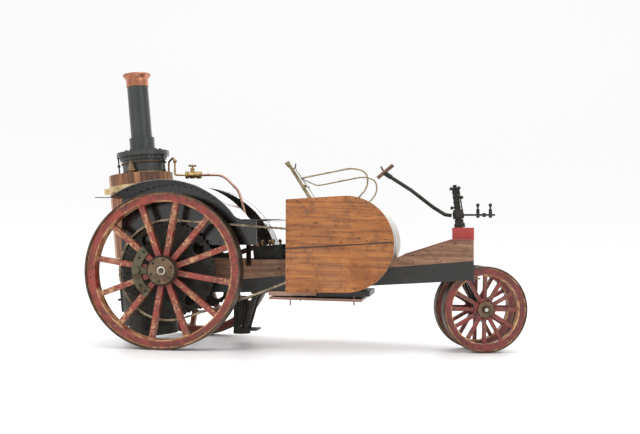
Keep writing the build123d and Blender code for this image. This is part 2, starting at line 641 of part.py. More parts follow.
# ---- fenders ---------------------------------------------------------------------------------------
def fender(y0, y1, start, end):
    """Curved sheet concentric with the driving wheel, from its front angle to its rear one."""
    return sector(0, DRIVE_R, FENDER_R, FENDER_R - FENDER_T, start, end, y0, y1)


def fender_front(y0, y1):
    """The front edge's reverse curve and flat tongue."""
    angle = 38.0
    flat_z = 157.0
    lift = (FENDER_R * sin(radians(angle)) + DRIVE_R - flat_z) / (1 - sin(radians(angle)))
    x = (FENDER_R + lift) * cos(radians(angle))
    curve = sector(x, flat_z + lift, lift + FENDER_T, lift, 180 + angle, 270, y0, y1)
    return curve + block(x, 142, y0, y1, flat_z - FENDER_T, flat_z)


def fenders():
    rear_z = DRIVE_R + FENDER_R * sin(radians(126))
    rear_x = FENDER_R * cos(radians(126))
    for side, name in ((-1, "near"), (1, "far")):
        y0, y1 = sorted((side * FENDER_OUT, side * FENDER_IN))
        if side < 0:
            sheet = fender(y0, y1, 38, 126) + fender_front(y0, y1)
        else:
            sheet = fender(y0, y1, 16, 126) - chain_loop(CHAIN_HALF_H + 3, -CHAIN_HALF_H - 3,
                                                         CHAIN_Y - 4, CHAIN_Y + 4)
        sheet += block(-83, rear_x + 0.6, y0, y1, rear_z - FENDER_T, rear_z)
        if side < 0:
            sheet += fender(-FENDER_IN, -APRON_IN, 38, 84) + fender_front(-FENDER_IN, -APRON_IN)
        add(name + "_fender", sheet)
    inside = FENDER_R - FENDER_T
    arc = across(0, DRIVE_R, inside, FENDER_IN, FENDER_IN + PLATE_T)
    body = slab([(-62, 98), (-34, 98), (-34, 126), (108, 126), (108, 156), (98, 156), (70, 210), (-62, 210)],
                FENDER_IN, FENDER_IN + PLATE_T)
    far_plate = body & arc
    near_plate = mirror(far_plate + (body & block(84, 110, FENDER_IN, FENDER_IN + PLATE_T, 120, 156)),
                        about=Plane.XZ)
    plates = cut([near_plate, far_plate], parts["near_fender"], parts["far_fender"])
    stays = []
    for x in (-56.0, 95.0):
        low = 100.0
        reach = FENDER_IN
        stay = block(x - 3, x + 3, BOARD_Y, BOARD_Y + 1.6, low, 130) + block(x - 3, x + 3, BOARD_Y, reach, 128.4, 130)
        stay += block(x - 3, x + 3, reach - 1.4, reach, 128.4, 138)
        stays += both_sides(stay)
    add("splasher_plates", plates, stays)


# ---- steering --------------------------------------------------------------------------------------
def steering():
    bearing = upright(0, 0, -32.4, -27.5, 7.0) + upright(0, 0, -27.5, -21.5, 5.6)
    hole = upright(0, 0, -95, 40, COLUMN_R + SHAFT_FIT)
    add("column_bearing", cut(on_column(bearing - hole), parts["front_block"]))

    shaft = on_column(upright(0, 0, -94, -12, COLUMN_R))
    crown = steered(block(-25, 7, -9, 9, 44, 48))
    legs = steered([slab([(-25, 44), (-15, 44), (5, -6), (-5, -6)], y, y + 3) for y in (-9.0, 6.0)])
    joined = gather(shaft)[0]
    for piece in gather(crown, legs):
        joined += piece
    axle_end = WHEEL2_Y + WHEEL2_TYRE_W / 2 + 3
    axle = steered(across(0, 0, WHEEL2_AXLE_R, -axle_end, axle_end))
    for piece in gather(axle):
        joined += piece
    add("steering_post", joined)
    for side, name in ((-1, "near"), (1, "far")):
        y = side * WHEEL2_Y
        rim_out = WHEEL2_R - WHEEL2_TYRE_T
        tyre = ring(0, 0, WHEEL2_R, rim_out, y - WHEEL2_TYRE_W / 2, y + WHEEL2_TYRE_W / 2)
        rim = ring(0, 0, rim_out, WHEEL2_RIM_IN, y - WHEEL2_RIM_W / 2, y + WHEEL2_RIM_W / 2)
        hub = across(0, 0, WHEEL2_HUB_R, y - side * 8, y + side * 7)
        hub += across(0, 0, WHEEL2_HUB_R + 3.5, y - side * 3, y + side * 4.5)
        wheel = rim + hub
        for index in range(SPOKES):
            reach = WHEEL2_RIM_IN + 2
            stick = Pos(reach / 2, y, 0) * Box(reach, 5, WHEEL2_SPOKE_W)
            wheel += Rot(0, -360 / SPOKES * index, 0) * stick
        wheel -= across(0, 0, WHEEL2_AXLE_R + SHAFT_FIT, y - 20, y + 20)
        add(name + "_front_tyre", steered(tyre))
        add(name + "_front_wheel", steered(wheel))

    barrel = upright(0, 0, -12, 17, COLUMN_R) + upright(0, 0, -12, -9, 6.2) + upright(0, 0, 17, 19.5, 7.4)
    barrel += upright(0, 0, 19.5, 23, 2.6)
    rods = [bar((x, y, -12), (x * 0.8, y, 17.2), 0.8) for x, y in ((6, -2.6), (6, 2.6))]
    knobs = [Pos(-7, 0, -6) * Sphere(2.2), Pos(7.2, 0, 6) * Sphere(2.2)]
    stems = [bar((0, 0, -6), (-7, 0, -6), 1.1), bar((0, 0, 6), (7.2, 0, 6), 1.1)]
    tower = barrel
    for piece in rods + knobs + stems:
        tower += piece
    tower = tower - upright(0, 0, -20, -12, 30)
    add("column_tower", on_column(tower))

    hub = on_column(upright(0, 0, -20.8, -12.0, 7.2) - upright(0, 0, -30, 0, COLUMN_R))
    arm = wire([(348.5, 0, 163.5), (340, 0, 164.6), (325, 0, 174), (296, 0, 196.5), (266.6, 0, 215.5)], 2.4, 6)
    ferrule = bar((270.6, 0, 213.0), (262.0, 0, 218.6), 3.1)
    arm_node = gather(hub)[0]
    for piece in gather(arm, ferrule):
        arm_node += piece
    bracket = block(361, 404, -2.2, 2.2, 163, 165.4)
    for x in (382.0, 398.0):
        bracket += upright(x, 0, 160.5, 171.5, 2.2) + upright(x, 0, 171.5, 175, 1.2) + upright(x, 0, 175, 178, 2.2)
    bracket += block(388, 392, -6, 6, 161.5, 166.5)
    clear = on_column(upright(0, 0, -30, 40, COLUMN_R))
    arm_node += bracket
    add("tiller", cut(arm_node, clear))
    handle = bar((252.7, 0, 212.2), (273, 0, 229.1), 2.4)
    handle = handle - bar((270.6, 0, 213.0), (262.0, 0, 218.6), 3.1)
    spike = bar((261, 0, 220.4), (257, 0, 227.4), 1.2)
    add("tiller_handle", cut(handle + spike, parts["tiller"]))


# ---- build -----------------------------------------------------------------------------------------
frame_boards()
under_gear()
driving_wheels()
chains_and_crank()
engine()
feed_pump_and_step()
casing()
lever()
boiler()
stack()
steam_line()
fenders()
steering()

for name in parts:
    parts[name] = [ride_place * solid for solid in parts[name]]
box = Compound(children=[solid.moved(Location()) for name in parts for solid in parts[name]]).bounding_box()
ORIGIN = ((box.min.X + box.max.X) / 2, (box.min.Y + box.max.Y) / 2, box.min.Z)

os.makedirs("parts", exist_ok=True)
for name, solids in parts.items():
    moved = [solid.moved(Location((-ORIGIN[0], -ORIGIN[1], -ORIGIN[2]))) for solid in solids]
    export_step(Compound(children=moved) if len(moved) > 1 else moved[0], f"parts/{name}.step")
print("nodes", len(parts), "origin", [round(v, 3) for v in ORIGIN], "size", box.size)
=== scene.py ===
import json
from math import acos, atan2, cos, hypot, pi, radians, sin
import bmesh
import bpy
from mathutils import Euler, Matrix, Vector


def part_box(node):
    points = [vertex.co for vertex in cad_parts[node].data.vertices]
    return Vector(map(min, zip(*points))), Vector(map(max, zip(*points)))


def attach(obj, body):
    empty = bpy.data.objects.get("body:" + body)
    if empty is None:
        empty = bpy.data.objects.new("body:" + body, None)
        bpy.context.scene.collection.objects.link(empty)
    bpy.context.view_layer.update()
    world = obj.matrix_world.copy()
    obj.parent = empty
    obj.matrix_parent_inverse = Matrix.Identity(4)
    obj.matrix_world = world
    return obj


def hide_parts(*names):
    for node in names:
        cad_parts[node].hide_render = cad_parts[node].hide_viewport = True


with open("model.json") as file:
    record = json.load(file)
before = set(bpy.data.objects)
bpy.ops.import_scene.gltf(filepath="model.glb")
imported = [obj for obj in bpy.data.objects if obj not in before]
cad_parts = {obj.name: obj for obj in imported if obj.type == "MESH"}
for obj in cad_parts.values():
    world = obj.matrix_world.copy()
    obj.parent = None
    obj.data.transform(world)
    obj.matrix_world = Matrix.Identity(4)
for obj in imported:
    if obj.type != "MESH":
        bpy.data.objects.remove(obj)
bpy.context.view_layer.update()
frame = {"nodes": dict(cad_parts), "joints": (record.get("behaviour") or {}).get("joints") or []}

# A model steam road carriage.  Metres; +X is the front, -Y the near side, +Z up.
MM = 0.001
JOINTS = {joint["name"]: joint for joint in frame["joints"]}
AXLE = Vector(JOINTS["drive_spin"]["pos_m"])
CRANK = Vector(JOINTS["crank_spin"]["pos_m"])
COLUMN = Vector(JOINTS["steer"]["pos_m"])
FRONT = Vector(JOINTS["near_front_spin"]["pos_m"])
COLUMN_AXIS = Vector(JOINTS["steer"]["axis"])
FRONT_TURN = atan2(-JOINTS["near_front_spin"]["axis"][0], JOINTS["near_front_spin"]["axis"][1])
FRONT_AXIS = Vector((-sin(FRONT_TURN), cos(FRONT_TURN), 0))
BOILER_AXIS = Vector(JOINTS["fire_door_swing"]["axis"])
BOILER_LEAN = atan2(BOILER_AXIS.x, BOILER_AXIS.z)


def centre_of(node):
    low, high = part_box(node)
    return (Vector(low) + Vector(high)) / 2


# ---- shading ---------------------------------------------------------------------------------
def srgb(red, green, blue):
    """Linear colour from display values of 0 to 255."""
    return tuple((channel / 255) ** 2.2 for channel in (red, green, blue))


class Value:
    """A shader value that is added and multiplied like a number."""

    def __init__(self, shade, socket):
        self.shade = shade
        self.socket = socket

    def join(self, operation, other=0.0, clamp=False):
        return self.shade.node("Math", {0: self, 1: other}, operation=operation, use_clamp=clamp)

    def __add__(self, other):
        return self.join("ADD", other)

    def __sub__(self, other):
        return self.join("SUBTRACT", other)

    def __rsub__(self, other):
        return (self * -1.0) + other

    def __mul__(self, other):
        return self.join("MULTIPLY", other)

    def between(self, low, high):
        """0 below low and 1 above high, smooth between; it falls if low is above high."""
        return self.shade.node("MapRange", {"Value": self, "From Min": low, "From Max": high},
                               interpolation_type="SMOOTHSTEP")

    def least(self, other):
        return self.join("MINIMUM", other)

    def most(self, other):
        return self.join("MAXIMUM", other)

    def size(self):
        return self.join("ABSOLUTE")


class Shade:
    """One material and the short ways to build its nodes."""

    def __init__(self, name):
        self.material = bpy.data.materials.new(name)
        self.material.use_nodes = True
        self.tree = self.material.node_tree
        self.skin = self.tree.nodes["Principled BSDF"]
        self.place = self.node("TexCoord", {}, "Object")

    def node(self, kind, inputs, output=0, **settings):
        made = self.tree.nodes.new("ShaderNode" + kind)
        for key, value in settings.items():
            setattr(made, key, value)
        for key, value in inputs.items():
            self.feed(made.inputs[key], value)
        return Value(self, made.outputs[output])

    def feed(self, socket, value):
        if isinstance(value, Value):
            self.tree.links.new(value.socket, socket)
        elif socket.type == "RGBA":
            socket.default_value = (*value[:3], 1.0)
        else:
            socket.default_value = value

    def local(self, centre, turn=(0, 0, 0)):
        """Coordinates about a centre, turned with the piece."""
        return self.node("Mapping", {"Vector": self.place, "Location": centre, "Rotation": turn},
                         vector_type="TEXTURE")

    def parts(self, vector):
        split = self.tree.nodes.new("ShaderNodeSeparateXYZ")
        self.feed(split.inputs[0], vector)
        return [Value(self, socket) for socket in split.outputs]

    def stretch(self, vector, x, y, z):
        return self.node("VectorMath", {0: vector, 1: (x, y, z)}, operation="MULTIPLY")

    def noise(self, vector, scale=1.0, detail=4.0, rough=0.55):
        return self.node("TexNoise", {"Vector": vector, "Scale": scale, "Detail": detail,
                                      "Roughness": rough})

    def cells(self, vector, scale=1.0):
        return self.node("TexVoronoi", {"Vector": vector, "Scale": scale})

    def chance(self, number):
        """A steady random number for each whole number."""
        return self.node("TexWhiteNoise", {"W": number}, noise_dimensions="1D")

    def mix(self, factor, first, second):
        return self.node("Mix", {0: factor, 6: first, 7: second}, 2, data_type="RGBA")

    def bump(self, height, depth, strength=1.0):
        return self.node("Bump", {"Height": height, "Distance": depth, "Strength": strength})

    def finish(self, **inputs):
        for key, value in inputs.items():
            self.feed(self.skin.inputs[key.replace("_", " ")], value)
        return self.material


def radius_of(shade, place):
    """Distance from the Y axis of a local place."""
    x, _, z = shade.parts(place)
    return (x * x + z * z).join("SQRT")


def red_wheel(name, centre, turn, base, deep, rim_in, rim_out, hub, bare):
    """Old red paint, worn through to the wood at the rim's edges and in chips."""
    shade = Shade(name)
    place = shade.local(centre, (0, 0, turn))
    reach = radius_of(shade, place)
    x, _, z = shade.parts(place)
    angle = z.join("ARCTAN2", x)
    patches = shade.noise(place, 55, 5)
    speck = shade.noise(place, 420, 5, 0.65)
    grain = shade.noise(shade.stretch(place, 160, 700, 160), 1, 5, 0.6)
    edge = (reach - rim_in).size().least((reach - rim_out).size())
    edge_wear = edge.between(0.0022, 0.0002) * patches.between(0.36, 0.6)
    streaks = shade.noise(shade.stretch(place, 330, 600, 330), 1, 6, 0.75)
    spoke_wear = reach.between(hub * 1.2, hub * 1.9) * reach.between(rim_in + 0.001, rim_in - 0.004)
    spoke_wear = spoke_wear * (streaks * 0.6 + patches * 0.4).between(0.49, 0.57)
    chips = (speck * 0.6 + patches * 0.4).between(0.6, 0.66)
    seam = (angle * (3 / pi)).join("FRACT")
    seam = (seam - 0.5).size().between(0.495, 0.4995) * reach.between(rim_in - 0.001, rim_in)
    wear = edge_wear.most(spoke_wear * bare).most(chips * 0.8)
    wood = shade.mix(grain.between(0.35, 0.7), srgb(214, 170, 124), srgb(128, 78, 48))
    paint = shade.mix(patches.between(0.35, 0.68), base, deep)
    paint = shade.mix(speck.between(0.5, 0.8) * 0.35, paint, srgb(196, 108, 84))
    grime = shade.noise(place, 130, 3).between(0.45, 0.7) * 0.6
    paint = shade.mix(grime, paint, srgb(70, 36, 28))
    colour = shade.mix(wear, paint, wood)
    colour = shade.mix(seam * 0.8, colour, srgb(40, 24, 20))
    rough = wear * 0.25 + patches * 0.2 + 0.32
    height = grain * 0.4 + speck * 0.4 - wear * 0.6 - seam
    return shade.finish(Base_Color=colour, Roughness=rough, Normal=shade.bump(height, 0.00012, 0.6),
                        Coat_Weight=(1 - wear) * 0.15)


def boards(name, light, middle, dark, coat, rough, stain, seam=None):
    """Planks along X: fibres, figure, streaks and stains.

    The seam is a line of painted shade in the gap between the boards, given as its height at X 0
    and its slope."""
    shade = Shade(name)
    place = shade.place
    sway = shade.noise(place, 14, 2)
    x, y, z = shade.parts(place)
    swayed = shade.node("CombineXYZ", {0: x + sway * 0.006, 1: y + sway * 0.004,
                                       2: z + sway * 0.005})
    long_way = shade.stretch(swayed, 1, 26, 26)
    figure = shade.noise(long_way, 9, 4, 0.6)
    fibre = shade.noise(long_way, 55, 6, 0.7)
    streak = shade.noise(long_way, 22, 4, 0.7)
    patch = shade.noise(place, 22, 4, 0.6)
    pores = shade.noise(shade.stretch(place, 9.5, 47, 47), 60, 2, 0.5)
    colour = shade.mix(figure.between(0.34, 0.68), light, middle)
    colour = shade.mix(streak.between(0.5, 0.72) * 0.75, colour, dark)
    colour = shade.mix(fibre.between(0.45, 0.75) * 0.4, colour, dark)
    colour = shade.mix(patch.between(0.48, 0.7) * stain, colour, middle)
    mottle = shade.noise(place, 95, 4, 0.7)
    pale = tuple(channel * 1.25 for channel in light)
    colour = shade.mix(mottle.between(0.5, 0.7) * stain * 0.6, colour, dark)
    colour = shade.mix(mottle.between(0.45, 0.3) * stain * 0.35, colour, pale)
    knots = shade.cells(shade.stretch(place, 1, 2.2, 2.2), 26)
    knot = knots.between(0.13, 0.03) * patch.between(0.45, 0.55)
    colour = shade.mix(knot * 0.85, colour, tuple(channel * 0.3 for channel in dark))
    height = fibre * 0.6 + streak * 0.4 - pores.between(0.62, 0.7) * 0.5 - knot * 0.5
    if seam:
        # Painted shade: the gap between the casing boards is darkened in the colour along the seam
        # line.
        height_at, slope = seam
        gap = (z - (x * slope + height_at) + fibre * 0.0006).size()
        colour = shade.mix(gap.between(0.0011, 0.0004) * 0.9, colour, srgb(34, 20, 14))
    return shade.finish(Base_Color=colour, Coat_Weight=patch.between(0.65, 0.3) * coat,
                        Roughness=fibre * 0.25 + patch * 0.15 + (rough - 0.16),
                        Normal=shade.bump(height, 0.00016, 0.55))


def metal(name, clean, dull, spots, rough, metallic, scale, spot_amount):
    """Aged metal: clean areas, a dull bloom, small dark or rusty spots and fine scratches."""
    shade = Shade(name)
    place = shade.place
    bloom = shade.noise(place, 45 * scale, 5, 0.6)
    fine = shade.noise(place, 380 * scale, 5, 0.65)
    rust = (bloom * 0.45 + fine * 0.55).between(0.54, 0.64) * spot_amount
    scratch = shade.noise(shade.stretch(place, 900, 60, 900), 1, 3, 0.6)
    colour = shade.mix(bloom.between(0.38, 0.66), clean, dull)
    colour = shade.mix(scratch.between(0.45, 0.8) * 0.3, colour, dull)
    colour = shade.mix(rust, colour, spots)
    height = fine * 0.6 + scratch * 0.25 + rust * 0.4
    return shade.finish(Base_Color=colour, Metallic=metallic - rust * metallic * 0.7,
                        Roughness=bloom * 0.22 + rust * 0.3 + scratch * 0.08 + (rough - 0.14),
                        Normal=shade.bump(height, 0.00010, 0.5))


def gloss_paint(name, base, worn, dust, rough, coat, wear_amount):
    """Old enamel: glossy, dusty in patches, rubbed through in small chips."""
    shade = Shade(name)
    place = shade.place
    cloud = shade.noise(place, 26, 4, 0.55)
    fine = shade.noise(place, 300, 5, 0.65)
    runs = shade.noise(shade.stretch(place, 120, 120, 22), 1, 4, 0.6)
    chips = (fine * 0.55 + cloud * 0.45).between(0.585, 0.635) * wear_amount
    colour = shade.mix(cloud.between(0.45, 0.75) * 0.5 + runs.between(0.5, 0.8) * 0.2, base, dust)
    colour = shade.mix(chips, colour, worn)
    height = fine * 0.3 - chips * 0.8 + cloud * 0.5
    return shade.finish(Base_Color=colour,
                        Roughness=cloud * 0.2 + chips * 0.3 + fine * 0.1 + (rough - 0.12),
                        Coat_Weight=(1 - chips) * coat, Coat_Roughness=0.12,
                        Normal=shade.bump(height, 0.00012, 0.5))


def staves(name, count=32):
    """Boiler lagging: every stave has its own tone, with dark joints and upright grain."""
    shade = Shade(name)
    foot = centre_of("boiler_shell")
    place = shade.local(foot, (0, BOILER_LEAN, 0))
    x, y, z = shade.parts(place)
    turn = y.join("ARCTAN2", x) * (count / (2 * pi)) + (count + 0.5)
    number = turn.join("FLOOR")
    tone = shade.chance(number)
    other = shade.chance(number + 50.0)
    joint = (turn.join("FRACT") - 0.5).size().between(0.44, 0.5)
    shifted = shade.node("CombineXYZ", {0: x + tone * 0.2, 1: y, 2: z + other * 0.1})
    fibre = shade.noise(shade.stretch(shifted, 900, 900, 38), 1, 6, 0.65)
    figure = shade.noise(shade.stretch(shifted, 160, 160, 14), 1, 4, 0.6)
    colour = shade.mix(tone.between(0.1, 0.95), srgb(126, 78, 50), srgb(184, 128, 84))
    colour = shade.mix(other.between(0.75, 0.95) * 0.8, colour, srgb(92, 54, 36))
    colour = shade.mix(figure.between(0.4, 0.7) * 0.5, colour, srgb(84, 48, 32))
    colour = shade.mix(fibre.between(0.5, 0.75) * 0.4, colour, srgb(60, 34, 24))
    stain = z.between(0.03, 0.062) * figure.between(0.3, 0.6)
    colour = shade.mix(stain * 0.6, colour, srgb(48, 34, 26))
    colour = shade.mix(joint * 0.9, colour, srgb(22, 15, 12))
    return shade.finish(Base_Color=colour, Roughness=fibre * 0.3 + 0.34, Coat_Weight=tone * 0.2,
                        Normal=shade.bump(fibre * 0.5 + tone * 0.3 - joint, 0.0003, 0.6))


# Light, middle and dark colours as display values; coat, roughness, stain and perhaps a seam line
# of painted shade.
BOARDS = {
    "case_wood": ((170, 106, 50), (132, 76, 34), (70, 39, 22), 0.5, 0.36, 0.8,
                  (AXLE.z + 0.0316, 0.0802)),
    "frame_wood": ((148, 110, 84), (112, 78, 58), (64, 44, 34), 0.1, 0.55, 0.6),
    "pine": ((186, 152, 132), (150, 112, 94), (104, 72, 58), 0.1, 0.5, 0.5),
    "handle_wood": ((112, 76, 54), (84, 54, 38), (48, 32, 24), 0.3, 0.4, 0.5),
}
# Base, worn and dusty colours; roughness, coat and amount of wear.
PAINTS = {
    "black_wood": ((30, 29, 27), (84, 68, 52), (58, 52, 46), 0.45, 0.15, 0.7),
    "black_paint": ((20, 17, 16), (84, 66, 52), (42, 37, 34), 0.18, 0.8, 0.4),
    "stack_green": ((35, 40, 36), (80, 76, 62), (60, 64, 58), 0.4, 0.3, 0.7),
    "red_paint": ((158, 48, 40), (110, 60, 46), (176, 72, 60), 0.35, 0.4, 0.6),
}
# Clean, dull and spot colours; roughness, metallic, scale of the noise and amount of spots.
METALS = {
    "tyre_iron": ((92, 74, 60), (58, 47, 40), (124, 84, 58), 0.5, 0.6, 1.2, 0.6),
    "dark_iron": ((58, 57, 52), (34, 33, 30), (98, 74, 52), 0.5, 0.6, 1.3, 0.5),
    "steel": ((178, 174, 164), (120, 114, 104), (96, 70, 50), 0.34, 1.0, 1.5, 0.45),
    "olive_steel": ((160, 146, 116), (112, 100, 76), (76, 58, 40), 0.36, 0.9, 1.5, 0.5),
    "dog": ((96, 90, 72), (62, 58, 46), (112, 78, 52), 0.45, 0.7, 1.8, 0.7),
    "sheet": ((196, 192, 184), (150, 146, 138), (104, 84, 64), 0.32, 0.9, 0.6, 0.3),
    "chain": ((164, 150, 126), (104, 92, 76), (150, 112, 76), 0.42, 0.8, 2.0, 0.8),
    "brass": ((178, 150, 104), (124, 100, 66), (74, 60, 40), 0.38, 1.0, 1.2, 0.6),
    "pipe": ((196, 160, 144), (152, 112, 96), (96, 70, 58), 0.38, 1.0, 1.5, 0.5),
    "band": ((206, 184, 138), (168, 142, 100), (112, 90, 60), 0.4, 0.7, 1.0, 0.5),
    "copper": ((206, 144, 116), (150, 96, 74), (84, 60, 50), 0.36, 1.0, 1.0, 0.6),
    "worn_brown": ((112, 92, 70), (74, 58, 44), (46, 34, 28), 0.48, 0.5, 1.5, 0.6),
    "bright": ((206, 202, 192), (150, 144, 132), (96, 80, 62), 0.3, 1.0, 2.0, 0.3),
    "nail": ((60, 52, 46), (32, 28, 26), (110, 80, 54), 0.5, 0.7, 2.0, 0.6),
}


def make_materials():
    made = {"lag_wood": staves("lag_wood")}
    made["wheel_red"] = red_wheel("wheel_red", AXLE, 0, srgb(140, 58, 46), srgb(104, 42, 34),
                                  83.5 * MM, 93.2 * MM, 18 * MM, 0.7)
    made["front_red"] = red_wheel("front_red", FRONT, FRONT_TURN, srgb(122, 44, 38),
                                  srgb(84, 32, 28), 43 * MM, 52.2 * MM, 10 * MM, 0.2)
    for make, table in ((boards, BOARDS), (gloss_paint, PAINTS), (metal, METALS)):
        for name, (first, second, third, *amounts) in table.items():
            made[name] = make(name, srgb(*first), srgb(*second), srgb(*third), *amounts)
    return made


MATERIAL = make_materials()

# The CAD nodes that each material goes on.
DRESS = {
    "wheel_red": "rear_rims rear_spokes",
    "front_red": "near_front_wheel far_front_wheel",
    "tyre_iron": "rear_tyres near_front_tyre far_front_tyre",
    "black_paint": "near_fender far_fender splasher_plates seat_boards",
    "dark_iron": "drive_sprockets crank_sprockets engine_frame axle_bearings cylinder_block "
                 "feed_pump ash_pan firebox_casing fire_door boiler_shell fire_tubes "
                 "steering_post column_tower tiller mounting_step column_bearing",
    "steel": "rear_axle crankshaft near_piston_rod far_piston_rod near_connecting_rod "
             "far_connecting_rod",
    "chain": "drive_chains",
    "sheet": "casing_sheet",
    "olive_steel": "seat_rail control_lever",
    "dog": "drive_dogs",
    "worn_brown": "rear_hubs safety_valve",
    "case_wood": "near_casing_boards far_casing_boards",
    "frame_wood": "side_boards bonnet_board cross_boards",
    "pine": "footboards",
    "handle_wood": "tiller_handle",
    "black_wood": "sole_bars under_tank",
    "lag_wood": "lagging_staves",
    "band": "lagging_bands",
    "brass": "stop_valve stop_valve_handle drain_cocks",
    "copper": "chimney_cap",
    "pipe": "steam_pipe",
    "stack_green": "chimney smokebox smokebox_top_plate",
    "red_paint": "front_block",
}


def dress_nodes():
    """Gives CAD nodes their materials, whatever slots they came with."""
    for material, names in DRESS.items():
        for name in names.split():
            mesh = frame["nodes"][name].data
            if not mesh.materials:
                mesh.materials.append(MATERIAL[material])
            for index in range(len(mesh.materials)):
                mesh.materials[index] = MATERIAL[material]


# ---- mesh helpers ----------------------------------------------------------------------------
def new_object(name, mesh, material, body):
    """A shown piece that rides on a body."""
    piece = bpy.data.objects.new(name, mesh)
    bpy.context.scene.collection.objects.link(piece)
    mesh.materials.clear()
    mesh.materials.append(MATERIAL[material])
    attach(piece, body)
    return piece


def turned(profile, sides):
    """A mesh turned about Z from (radius, height) points in millimetres."""
    build = bmesh.new()
    angles = [2 * pi * i / sides for i in range(sides)]
    rings = []
    for radius, height in profile:
        around, up = radius * MM, height * MM
        rings.append([build.verts.new((around * cos(a), around * sin(a), up)) for a in angles])
    for lower, upper in zip(rings, rings[1:]):
        for i in range(sides):
            j = (i + 1) % sides
            build.faces.new((lower[i], lower[j], upper[j], upper[i]))
    build.faces.new(list(reversed(rings[0])))
    build.faces.new(rings[-1])
    bmesh.ops.recalc_face_normals(build, faces=build.faces)
    mesh = bpy.data.meshes.new("turned")
    build.to_mesh(mesh)
    build.free()
    for polygon in mesh.polygons:
        polygon.use_smooth = len(polygon.vertices) == 4
    return mesh


def final_mesh(item):
    """The mesh of an object after its modifiers or bevel."""
    return bpy.data.meshes.new_from_object(
        item.evaluated_get(bpy.context.evaluated_depsgraph_get()))


def scatter(name, shape, places, material, body, slot):
    """Copies of a small mesh at (position, rotation) places, joined by geometry nodes."""
    spots = bpy.data.meshes.new(name + "_spots")
    spots.from_pydata([tuple(position) for position, _ in places], [], [])
    turn = spots.attributes.new("turn", "FLOAT_VECTOR", "POINT")
    for index, (_, rotation) in enumerate(places):
        turn.data[index].vector = tuple(rotation)
    holder = bpy.data.objects.new(name + "_spots", spots)
    sample = bpy.data.objects.new(name + "_sample", shape)
    for item in (holder, sample):
        bpy.context.scene.collection.objects.link(item)
    tree = bpy.data.node_groups.new(name, "GeometryNodeTree")
    tree.interface.new_socket("Geometry", in_out="INPUT", socket_type="NodeSocketGeometry")
    tree.interface.new_socket("Geometry", in_out="OUTPUT", socket_type="NodeSocketGeometry")
    nodes, links = tree.nodes, tree.links
    start, end = nodes.new("NodeGroupInput"), nodes.new("NodeGroupOutput")
    source = nodes.new("GeometryNodeObjectInfo")
    source.inputs["Object"].default_value = sample
    spread = nodes.new("GeometryNodeInstanceOnPoints")
    turns = nodes.new("GeometryNodeInputNamedAttribute")
    turns.data_type = "FLOAT_VECTOR"
    turns.inputs["Name"].default_value = "turn"
    to_turn = nodes.new("FunctionNodeEulerToRotation")
    real = nodes.new("GeometryNodeRealizeInstances")
    paint = nodes.new("GeometryNodeSetMaterial")
    paint.inputs["Material"].default_value = MATERIAL[material]
    links.new(start.outputs[0], spread.inputs["Points"])
    links.new(source.outputs["Geometry"], spread.inputs["Instance"])
    links.new(turns.outputs["Attribute"], to_turn.inputs[0])
    links.new(to_turn.outputs[0], spread.inputs["Rotation"])
    links.new(spread.outputs[0], real.inputs[0])
    links.new(real.outputs[0], paint.inputs["Geometry"])
    links.new(paint.outputs[0], end.inputs[0])
    holder.modifiers.new("copies", "NODES").node_group = tree
    mesh = final_mesh(holder)
    for item in (holder, sample):
        bpy.data.objects.remove(item)
    bpy.data.node_groups.remove(tree)
    return new_object(name, mesh, material, body)


def facing(direction):
    """Euler turn that points +Z along a direction."""
    return Vector(direction).to_track_quat("Z", "Y").to_euler()


def fasten(name, shape, spots, direction, material, body, slot):
    """Copies of a small mesh that all face one way."""
    scatter(name, shape, [(place, facing(direction)) for place in spots], material, body, slot)


def round_head(radius, height):
    """A domed nail or rivet head whose base is on the surface."""
    steps = [(radius * cos(a), height * sin(a)) for a in (0, pi / 8, pi / 4, 3 * pi / 8)]
    return turned([(radius, -0.3)] + steps + [(radius * 0.1, height)], 14)


def hex_bolt(radius, height):
    """A six-sided head with a small stud end."""
    return turned([(radius, -0.2), (radius, height * 0.85), (radius * 0.88, height),
                   (radius * 0.5, height), (radius * 0.5, height * 1.35),
                   (radius * 0.35, height * 1.45)], 6)


# ---- places on the object --------------------------------------------------------------------
PITCH = radians(1.34)          # the frame rides nose-up about the driving axle
DRIVE_R = 95.2
BOILER_FOOT_X = -40.0
BOILER_TOP = 219.0             # along the boiler's axis, where the lagging ends
STACK_X = 5.0                  # how far smokebox and chimney stand forward of that axis
FENDER_R = 109.8
CASE_R, CASE_X, CASE_Z = 58.6, 220.0, 127.0
CASE_REAR = 147.0
CASE_FACE = 79.9               # outer faces, from the middle plane
BOARD_FACE = 48.4
SPLASHER_FACE = 63.5
HUB_FACE = 100.4
SIDES = (("near", -1), ("far", 1))


def spot(x, y, z):
    """A place in millimetres: X from the driving axle, Z from the ground."""
    up = z - DRIVE_R
    ahead, above = x * cos(PITCH) - up * sin(PITCH), x * sin(PITCH) + up * cos(PITCH)
    return AXLE + Vector((ahead, y, above)) * MM


def tilted_spot(base, axis, x, y, z):
    side = Vector((axis.z, 0, -axis.x))
    return base + (side * x + Vector((0, y, 0)) + axis * z) * MM


def boiler_spot(x, y, z):
    """A place in millimetres along the leaning boiler."""
    return tilted_spot(spot(BOILER_FOOT_X, 0, 0), BOILER_AXIS, x, y, z)


def column_spot(x, y, z):
    return tilted_spot(COLUMN, COLUMN_AXIS, x, y, z)


def front_spot(radius, angle, y):
    """A place on a front wheel: radius and angle from level, y along the turned axle."""
    ahead = Vector((cos(FRONT_TURN), sin(FRONT_TURN), 0))
    up = Vector((0, 0, radius * sin(angle)))
    return FRONT + (ahead * (radius * cos(angle)) + up + FRONT_AXIS * y) * MM


def drive_spot(radius, angle, y):
    return AXLE + Vector((radius * cos(angle), y, radius * sin(angle))) * MM


